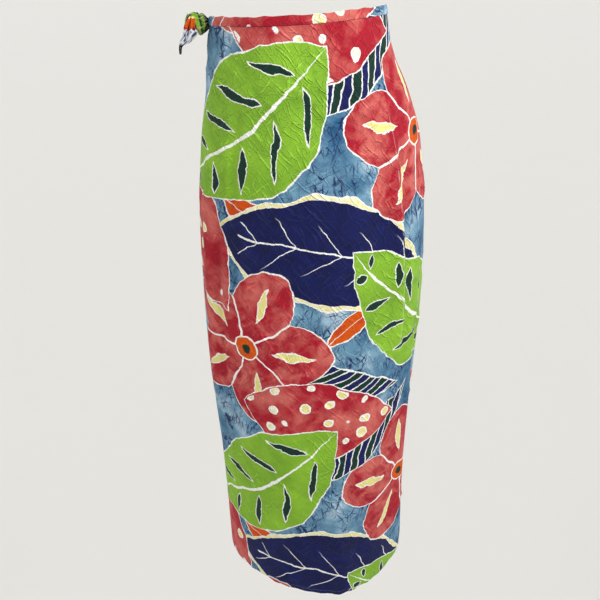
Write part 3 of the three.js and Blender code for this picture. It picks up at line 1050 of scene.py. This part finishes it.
def surface_piece(name, points, uvs, around=False, loop=False, ends=False):
    """A piece from a grid of points, rows by columns. around joins the last column to the first and loop
    the last row to the first; uvs then has one column or row more. ends closes the first and last rows."""
    rows, columns = points.shape[:2]
    faces = grid_faces(rows, columns, around, loop, columns)
    uv_columns = uvs.shape[1]
    if around:
        uv_faces = grid_faces(rows + 1 if loop else rows, uv_columns, False, False, uv_columns)
    else:
        uv_faces = faces
    face_list, uv_index = faces.tolist(), [uv_faces.reshape(-1)]
    if ends:
        ring = np.arange(columns)
        face_list += [ring[::-1].tolist(), (ring + (rows - 1) * columns).tolist()]
        uv_index += [ring[::-1], ring + (rows - 1) * uv_columns]
    return mesh_piece(name, points.reshape(-1, 3), face_list, uvs.reshape(-1, 2)[np.concatenate(uv_index)])


def mesh_piece(name, points, faces, uvs):
    """A smooth shaded piece from points, faces and one flat place for each corner of a face."""
    mesh = bpy.data.meshes.new(name)
    mesh.from_pydata(points.tolist(), [], faces)
    layer = mesh.uv_layers.new(name="cloth")
    layer.data.foreach_set("uv", uvs.astype(np.float32).reshape(-1))
    mesh.polygons.foreach_set("use_smooth", np.ones(len(mesh.polygons), bool))
    mesh.update()
    piece = bpy.data.objects.new(name, mesh)
    bpy.context.scene.collection.objects.link(piece)
    return piece


def dressed(piece, slot, *materials):
    """Gives a piece its materials and its body; slot is not used."""
    for material in materials:
        piece.data.materials.append(material)
    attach(piece, "root")
    return piece


def thickened(piece, thickness, inner=0):
    """Gives a surface its thickness, inwards."""
    shell = piece.modifiers.new("thickness", "SOLIDIFY")
    shell.thickness = thickness
    shell.offset = -1.0
    shell.use_even_offset = False
    shell.material_offset = inner
    return piece


def material_once(name, make, *values):
    """The material of that name, made the first time that it is asked for."""
    return bpy.data.materials.get(name) or make(name, *values)


def batik():
    return material_once("batik_print", batik_material)


# ---- the wound cloth ----

def level_turn(turn):
    """An edge of a stretch that lies at the same turn all the way down."""
    return lambda guide: turn + 0 * guide


class SKIRT_OT_cloth(bpy.types.Operator):
    """Make the front, the back and the under layer of the wound cloth"""

    bl_idname = "skirt.cloth"
    bl_label = "Cloth"

    def execute(self, context):
        right_seam, inner_end = level_turn(RIGHT_SEAM), level_turn(UNDER_END - 360)
        self.stretch("front_cloth", "front_wrap", right_seam, free_edge, 1.0)
        self.stretch("back_cloth", "back_wrap", inner_seam, right_seam, 1.0)
        self.stretch("under_cloth", "under_wrap", inner_end, inner_seam, 2.0)
        return {"FINISHED"}

    @staticmethod
    def stretch(name, node, start, stop, coarser):
        """One stretch: a grid between two turns, moved out by its layer, folds and creases."""
        step = sizes().grid_step * coarser
        turn, z = cloth_grid(start, stop, round(STRETCH_WIDTH[name] / step), round(-HEM_LEVEL / step))
        piece = surface_piece(name, cloth_point(turn, z, layer_offset(turn)), FLAT.uv(turn, z))
        thickened(piece, sizes().cloth_thickness, 1)
        wrong = material_once("batik_wrong_side", batik_material, True)
        dressed(piece, "batik_cloth", batik(), wrong)
        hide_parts(node)


# ---- hems ----

WAIST_FOLD = np.array([  # outwards from the cloth's face, and up from its edge, round the fold
    (-0.95, -4.0),
    (-0.95, -0.5),
    (-0.80, 0.5),
    (-0.35, 1.05),
    (0.35, 1.15),
    (0.95, 0.75),
    (1.15, 0.0),
    (1.20, -2.5),
    (1.20, -5.5),
    (1.05, -8.3),
    (0.75, -9.4),
    (0.35, -10.0),
]) * MM

INWARD_FOLD = np.array([  # the same for a hem that is turned inwards; up is back from the edge
    (0.15, 1.2),
    (0.18, 0.3),
    (-0.10, -0.30),
    (-0.60, -0.50),
    (-1.10, -0.30),
    (-1.40, 0.3),
    (-1.45, 2.5),
    (-1.40, 5.0),
    (-1.15, 7.2),
    (-0.70, 8.0),
]) * MM


WAIST_FOLD_HEIGHT = 0.010
INWARD_FOLD_HEIGHT = 0.008


def fold_lengths(profile):
    """How far each row of a hem's profile is along the cloth from the fold itself."""
    along = walked(profile)
    return along - along[len(profile) // 3]


def sag(across):
    """How far an edge rises and falls between the stitches: three sines of 21, 34 and 90 mm."""
    waves = np.sin(across * 298 + 1.1) * np.sin(across * 21) + np.sin(across * 185) + np.sin(across * 70)
    return 0.45 * MM * waves


def pucker(across):
    """Small waves between the stitches: a sine of 8 mm whose phase wanders."""
    return 0.24 * MM * np.sin(across * 2 * np.pi / 0.0083 + 2.2 * np.sin(across * 57))


def level_hem(name, start, stop, height, profile, away_from_edge):
    """A hem along the waist or the bottom: its profile carried along the edge between two turns."""
    turn = np.linspace(start, stop, int((stop - start) * 1.6))[None, :]
    edge = height(turn)
    flat = FLAT.uv(turn, edge)
    shape = np.sin(np.linspace(0, np.pi, len(profile)))[:, None]
    out = profile[:, :1] + layer_offset(turn) + pucker(flat[..., 0]) * shape
    uv = np.repeat(flat, len(profile), 0)
    uv[..., 1] += away_from_edge * fold_lengths(profile)[:, None]
    edge = edge + sag(flat[..., 0]) * shape
    points = cloth_point(np.repeat(turn, len(profile), 0), edge + profile[:, 1:], out)
    if away_from_edge > 0:
        return surface_piece(name, points[::-1], uv[::-1])
    return surface_piece(name, points, uv)


def inside_edge(z, distance):
    """The turn that lies a distance in from the free edge."""
    turn = free_edge(z)
    per_turn = FLAT.across(turn + 0.5, z) - FLAT.across(turn - 0.5, z)
    return turn - distance / per_turn


def edge_hem(name, profile):
    """The hem of the free edge: its profile carried down the edge, turned inwards."""
    z = np.linspace(-0.004, -0.926, 240)[:, None]
    turns = inside_edge(z, profile[::-1, 1][None, :] * sizes().side_hem / INWARD_FOLD_HEIGHT)
    out = profile[::-1, 0][None, :] + pucker(-z) * np.sin(np.linspace(0, np.pi, len(profile)))
    uv = FLAT.uv(turns, z)
    return surface_piece(name, cloth_point(turns, z, out)[:, ::-1], uv[:, ::-1])


class SKIRT_OT_hems(bpy.types.Operator):
    """Make the turned hems of the waist, the bottom and the free edge"""

    bl_idname = "skirt.hems"
    bl_label = "Hems"

    def execute(self, context):
        waist = WAIST_FOLD * (1, sizes().waist_hem / WAIST_FOLD_HEIGHT)
        bottom = INWARD_FOLD * (1, sizes().bottom_hem / INWARD_FOLD_HEIGHT)
        hems = (
            (level_hem("waist_hem", WAIST_HEM_START, 345.6, waist_height, waist, 1),
             ("waist_hem_front", "waist_hem_back")),
            (level_hem("bottom_hem", -15.6, 369.8, hem_height, bottom, -1),
             ("bottom_hem_front", "bottom_hem_back")),
            (edge_hem("edge_hem", INWARD_FOLD), ("side_hem",)),
        )
        for piece, nodes in hems:
            thickened(piece, sizes().cloth_thickness * 0.8)
            dressed(piece, "batik_cloth", batik())
            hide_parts(*nodes)
        return {"FINISHED"}


# ---- stitching ----

STITCH_IN = (0.0086, 0.0066, 0.0080)  # from the waist edge, the bottom edge and the free edge
HEM_FACE = 0.00104                    # how far out the face of the waist hem is


def stitch_line(turn, z, out):
    """Stitches along a line on the cloth: places an equal distance apart, each with its own directions."""
    line = cloth_point(turn, z, out)
    along = walked(line)
    step = sizes().stitch + sizes().stitch_gap
    at = np.arange(step, along[-1] - step, step)
    middle, ahead = (vectors(*(np.interp(where, along, line[:, k]) for k in range(3)))
                     for where in (at, at + step / 3))
    ahead = ahead - middle
    ahead /= np.linalg.norm(ahead, axis=1, keepdims=True)
    _, normal = tube(np.interp(at, along, turn), np.interp(at, along, z))
    aside = np.cross(ahead, normal)
    aside /= np.linalg.norm(aside, axis=1, keepdims=True)
    return middle, ahead, aside, np.cross(aside, ahead)


def stitches(middle, ahead, aside, out):
    """Each stitch is a short round thread that rises out of the cloth and goes back in: its height is
    (1 - x^4) of half a thread, x from -1 at one end to 1."""
    around, rows = 6, 5
    x = np.linspace(-1, 1, rows)
    angle = ring(around)
    radius = sizes().thread / 2
    lift = radius * (1.1 * (1 - x ** 4) - 0.75)
    thick = radius * (1 - 0.35 * x ** 4)
    side = (thick[:, None] * np.cos(angle))[None, ..., None]
    rise = (lift[:, None] + thick[:, None] * np.sin(angle))[None, ..., None]
    run = (x * sizes().stitch / 2)[None, :, None, None]
    return (middle[:, None, None] + ahead[:, None, None] * run
            + aside[:, None, None] * side + out[:, None, None] * rise)


class SKIRT_OT_stitching(bpy.types.Operator):
    """Make the machine stitching that holds the three hems"""

    bl_idname = "skirt.stitching"
    bl_label = "Stitching"

    def execute(self, context):
        round_waist = np.linspace(WAIST_HEM_START + 0.5, 345.0, 2400)
        round_hem = np.linspace(-15.0, 369.0, 3000)
        down = np.linspace(-0.012, -0.92, 2000)
        waist_out = layer_offset(round_waist) + HEM_FACE
        lines = (
            stitch_line(round_waist, waist_height(round_waist) - STITCH_IN[0], waist_out),
            stitch_line(round_hem, hem_height(round_hem) + STITCH_IN[1], layer_offset(round_hem)),
            stitch_line(inside_edge(down, STITCH_IN[2]), down, 0 * down),
        )
        grid = np.concatenate([stitches(*line) for line in lines])
        count, rows, around = grid.shape[:3]
        faces = grid_faces(rows, around, True, False, around)
        caps = np.arange(around)
        quads = (np.arange(count)[:, None, None] * rows * around + faces).reshape(-1, 4)
        ends = np.arange(count)[:, None] * rows * around
        first, last = ends + caps[::-1], ends + caps + (rows - 1) * around
        face_list = quads.tolist() + first.tolist() + last.tolist()
        corners = len(quads) * 4 + 2 * count * around
        piece = mesh_piece("stitching", grid.reshape(-1, 3), face_list, np.zeros((corners, 2)))
        dressed(piece, "batik_cloth", material_once("thread", thread_material))
        return {"FINISHED"}


# ---- the knot and its ends ----

def round_knot(out, angle, radius):
    """Points about the knot's axis, which points out of the waist: by a distance out along it, and by angle
    and radius across it."""
    seat, axis = tube(np.array(KNOT_TURN), np.array(KNOT_Z))
    seat = seat + axis * fold_height(np.array(KNOT_TURN), np.array(KNOT_Z))
    level, up = np.cross((0, 0, 1), axis), np.array([0.0, 0.0, 1.0])
    return (seat + axis * out[..., None] + level * (radius * np.cos(angle))[..., None]
            + up * (radius * np.sin(angle))[..., None])


def bunched(out, angle):
    """Radius of the bunched cloth: the profile, with five deep twisted pleats and finer ones across them."""
    twist = 34 * out + 0.8 * np.sin(out * 240) + 0.4 * np.sin(2 * angle)
    deep = np.abs(np.cos(2.5 * angle + twist)) ** 0.6
    cross = np.abs(np.cos(4 * angle - 150 * out + np.sin(2 * angle + 1))) ** 0.7
    fine = np.cos(15 * angle - 3 * twist + 2 * np.sin(3 * angle))
    fade = np.clip((KNOT_PROFILE[-1, 0] - out) / 0.0036, 0, 1)
    return read(KNOT_PROFILE, 1, out) + (2.6 * deep + 1.1 * cross - 2.3 + 0.25 * fine) * MM * fade


def oval_rows(table, rows, columns, crumple):
    """A hanging end: level ovals down a path, whose front and back face wave across and down."""
    place = np.linspace(0, 1, rows)
    track = np.linspace(0, 1, len(table))
    keyed = [np.column_stack([track, table[:, k]]) for k in range(5)]
    x, y, z, half, thick = (read(rows_of, 1, place)[:, None] for rows_of in keyed)
    place = place[:, None]
    angle = ring(columns)[None, :]
    across, side = np.cos(angle), np.sign(np.sin(angle))
    bulge = np.abs(np.sin(angle))
    wave = crumple * np.sin(across * 4.2 + 8 * place) * np.sin(np.pi * place) ** 0.5
    ridge = 0.38 * MM * np.cos(across * 13 - 16 * place) * bulge
    face = side * (thick / 2 * bulge ** 0.8 * (1 + 0.5 * np.sin(7 * across)) + ridge)
    ripple = 0.4 * MM * np.sin(4 * across + 20 * place)
    points = vectors(x + half * across, y + wave - face, z + ripple)
    down = walked(np.column_stack([x, z]))[:, None]
    return points, vectors(np.cos(ring(columns, closed=True))[None, :] * half, down)


class SKIRT_OT_knot(bpy.types.Operator):
    """Make the knot at the hip and the band of cloth passed round it"""

    bl_idname = "skirt.knot"
    bl_label = "Knot"

    def execute(self, context):
        self.knot()
        self.band()
        return {"FINISHED"}

    @staticmethod
    def knot():
        """The knot: pleated rings out along its axis, closed at both ends."""
        length = KNOT_PROFILE[-1, 0]
        out = np.linspace(KNOT_PROFILE[0, 0], length, 72)[:, None]
        angle = ring(168)[None, :]
        points = round_knot(out + 0 * angle, angle + 0 * out, bunched(out, angle))
        uv = vectors(ring(168, closed=True)[None, :] * KNOT_RADIUS, out)
        knot = surface_piece("tied_knot", points, uv, around=True, ends=True)
        # Deep navy at the knot's root is painted shade where it meets the waist; the other stops are print.
        stops = (
            (0.0, "deep_navy"), (0.10, "pine"), (0.22, "lime_shade"), (0.62, "lime"), (0.78, "cream"),
            (0.87, "lime"),
        )
        values = (stops, length, ("pine", 0.85, 0.47), 0.50, KNOT_RADIUS)
        dressed(knot, "knot_cloth", material_once("knot_gathers", scrap_material, *values))
        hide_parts("knot")

    @staticmethod
    def band():
        """The band: a rounded section carried once round the knot, its middle swaying as it goes."""
        angle, section = ring(144)[:, None], ring(36)[None, :]
        wide, high = np.cos(section), np.sin(section)
        middle = 0.0156 + 0.0034 * np.sin(angle)
        half = 0.0044 + 0.0016 * np.sin(angle + 0.2)
        height = 2.7 * np.clip(high, 0, 1) ** 0.7 - 0.9 * np.clip(-high, 0, 1)
        lines = 0.42 * np.cos(8 * wide + 2.4 * np.sin(2 * angle)) * np.clip(high, 0, 1)
        out = middle + half * wide
        radius = read(KNOT_PROFILE, 1, np.broadcast_to(middle, out.shape)) + (0.9 + height + lines) * MM
        points = round_knot(out, angle + 0 * section, radius)
        across = np.cos(ring(36, closed=True))[None, :]
        uv = vectors(ring(144, closed=True)[:, None] * 0.0125, 0.005 + 0.0047 * across)
        band = surface_piece("knot_wrap", points, uv, around=True, loop=True)
        stops = ((0.0, "deep_navy"), (0.07, "pine"), (0.28, "lime_shade"), (0.52, "lime"), (0.88, "wax"))
        wound = material_once("knot_band", scrap_material, stops, 0.010, ("pine", 0.8, 0.52))
        dressed(band, "knot_cloth", wound)
        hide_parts("knot_band")


class SKIRT_OT_ends(bpy.types.Operator):
    """Make the two loose ends of the knot"""

    bl_idname = "skirt.ends"
    bl_label = "Loose ends"

    def execute(self, context):
        stops = (
            (0.0, "lime_shade"), (0.03, "cream"), (0.08, "orange"), (0.28, "rust"), (0.32, "mist"),
            (0.74, "deep_navy"),
        )
        form = oval_rows(FRONT_END, 90, 72, 1.5 * MM)
        piece = self.end("front_end", form, stops, 0.061, ("deep_navy", 0.9, 0.50), 0.66)
        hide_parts("tie_end_front")
        stops = ((0.0, "orange"), (0.35, "wax"), (0.42, "navy"), (0.75, "sea"))
        form = oval_rows(BACK_END, 60, 56, 0.5 * MM)
        piece = self.end("rear_end", form, stops, 0.034, ("deep_navy", 0.7, 0.52))
        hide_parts("tie_end_back")
        return {"FINISHED"}

    @staticmethod
    def end(name, form, *print_values):
        """One end: its points and flat places, then its stops, its length and its streak of ink."""
        piece = surface_piece(name, *form, around=True, ends=True)
        dressed(piece, "knot_cloth", material_once(name, scrap_material, *print_values))
        return piece


# ---- the studio ----

SUNS = (  # name, how wide it shines from, how it is turned, in degrees
    ("key", 36, (74, 0, 68)),
    ("fill", 56, (78, 0, -72)),
    ("back", 100, (72, 0, 180)),
)
LAMP_PLACE = (0.70, -0.85, 0.50)
LAMP_AIM = (0.05, 0.0, -0.20)
LAMP_SIZE = 0.5
FLOOR_REACH = 40.0
FLOOR_LEVEL = -1.6
CAMERA_PLACE = (0.0, -1.043, 0.067)
CAMERA_DOWN = 26.1
CAMERA_ROLL = -1.0


class SKIRT_OT_stage(bpy.types.Operator):
    """Make the floor, the soft lights and the camera"""

    bl_idname = "skirt.stage"
    bl_label = "Stage"

    def execute(self, context):
        scene = context.scene
        light = scene.skirt_light
        floor = self.floor()
        for name, spread, lie in SUNS:
            self.sun(name + "_light", getattr(light, name), spread, lie)
        self.lamp(light.lamp, floor)
        scene.world = self.surroundings(light)
        scene.view_settings.view_transform = "Standard"
        self.camera(scene)
        return {"FINISHED"}

    @staticmethod
    def surroundings(light):
        """Even soft light: pale up to 20 degrees over the horizon and dimmer above that."""
        world = bpy.data.worlds.new("studio")
        world.use_nodes = True
        tree = world.node_tree
        where = tree.nodes.new("ShaderNodeTexCoord")
        parts = tree.nodes.new("ShaderNodeSeparateXYZ")
        ramp = tree.nodes.new("ShaderNodeValToRGB")
        for stop, (height, level) in zip(ramp.color_ramp.elements, ((0.34, light.wall), (0.70, light.sky))):
            stop.position = height
            stop.color = (level, level * 0.99, level * 0.97, 1.0)
        tree.links.new(where.outputs["Generated"], parts.inputs[0])
        tree.links.new(parts.outputs["Z"], ramp.inputs[0])
        tree.links.new(ramp.outputs[0], tree.nodes["Background"].inputs["Color"])
        return world

    @staticmethod
    def floor():
        """A wide level floor, far enough below the hem that no shadow shows."""
        line = np.linspace(-FLOOR_REACH, FLOOR_REACH, 9)
        points = vectors(line[None, :], line[:, None], FLOOR_LEVEL)
        floor = surface_piece("floor", points, points[..., :2] / FLOOR_REACH)
        floor.data.materials.append(material_once("studio_floor", floor_material))
        return floor

    @staticmethod
    def sun(name, strength, spread, lie):
        """A soft light that is the same everywhere."""
        lamp = bpy.data.lights.new(name, "SUN")
        lamp.energy = strength
        lamp.angle = np.radians(spread)
        made = bpy.data.objects.new(name, lamp)
        made.rotation_euler = [float(np.radians(a)) for a in lie]
        bpy.context.scene.collection.objects.link(made)

    @staticmethod
    def lamp(strength, floor):
        """A square lamp near the waist, so that the cloth is lightest there. It leaves the floor out."""
        light = bpy.data.lights.new("near_light", "AREA")
        light.energy = strength
        light.size = LAMP_SIZE
        made = bpy.data.objects.new("near_light", light)
        made.location = LAMP_PLACE
        made.rotation_euler = (Vector(LAMP_AIM) - made.location).to_track_quat("-Z", "Y").to_euler()
        made.visible_camera = False
        unlit = bpy.data.collections.new("unlit by the lamp")
        unlit.objects.link(floor)
        unlit.collection_objects[0].light_linking.link_state = "EXCLUDE"
        made.light_linking.receiver_collection = unlit
        bpy.context.scene.collection.objects.link(made)

    @staticmethod
    def camera(scene):
        """In front of the waist, looking down."""
        lens = bpy.data.cameras.new("camera")
        lens.lens = 42.0
        lens.sensor_width = 36.0
        made = bpy.data.objects.new("camera", lens)
        tilt = Matrix.Rotation(np.radians(90 - CAMERA_DOWN), 4, "X")
        roll = Matrix.Rotation(np.radians(CAMERA_ROLL), 4, "Z")
        made.matrix_world = Matrix.Translation(CAMERA_PLACE) @ tilt @ roll
        scene.collection.objects.link(made)
        scene.camera = made


# ---- the add-on ----

class SKIRT_PT_panel(bpy.types.Panel):
    """Lists the pieces of the skirt, its sizes and its colours"""

    bl_label = "Wrap Skirt"
    bl_idname = "SKIRT_PT_panel"
    bl_space_type = "VIEW_3D"
    bl_region_type = "UI"
    bl_category = "Wrap Skirt"

    def draw(self, context):
        layout = self.layout
        for operator in OPERATORS:
            layout.operator(operator.bl_idname)
        for settings in (sizes(), colours(), context.scene.skirt_light):
            box = layout.box()
            for name in settings.__annotations__:
                box.prop(settings, name)


OPERATORS = (
    SKIRT_OT_stage,
    SKIRT_OT_cloth,
    SKIRT_OT_hems,
    SKIRT_OT_stitching,
    SKIRT_OT_knot,
    SKIRT_OT_ends,
)
SETTINGS = {"skirt_sizes": SkirtSizes, "skirt_colours": SkirtColours, "skirt_light": StudioLight}
CLASSES = (*SETTINGS.values(), *OPERATORS, SKIRT_PT_panel)


def register():
    for each in CLASSES:
        bpy.utils.register_class(each)
    for name, group in SETTINGS.items():
        setattr(bpy.types.Scene, name, PointerProperty(type=group))


def unregister():
    for name in SETTINGS:
        delattr(bpy.types.Scene, name)
    for each in reversed(CLASSES):
        bpy.utils.unregister_class(each)


def main():
    register()
    bpy.ops.skirt.stage()
    bpy.ops.skirt.cloth()
    bpy.ops.skirt.hems()
    bpy.ops.skirt.stitching()
    bpy.ops.skirt.knot()
    bpy.ops.skirt.ends()


if __name__ == "__main__":
    main()
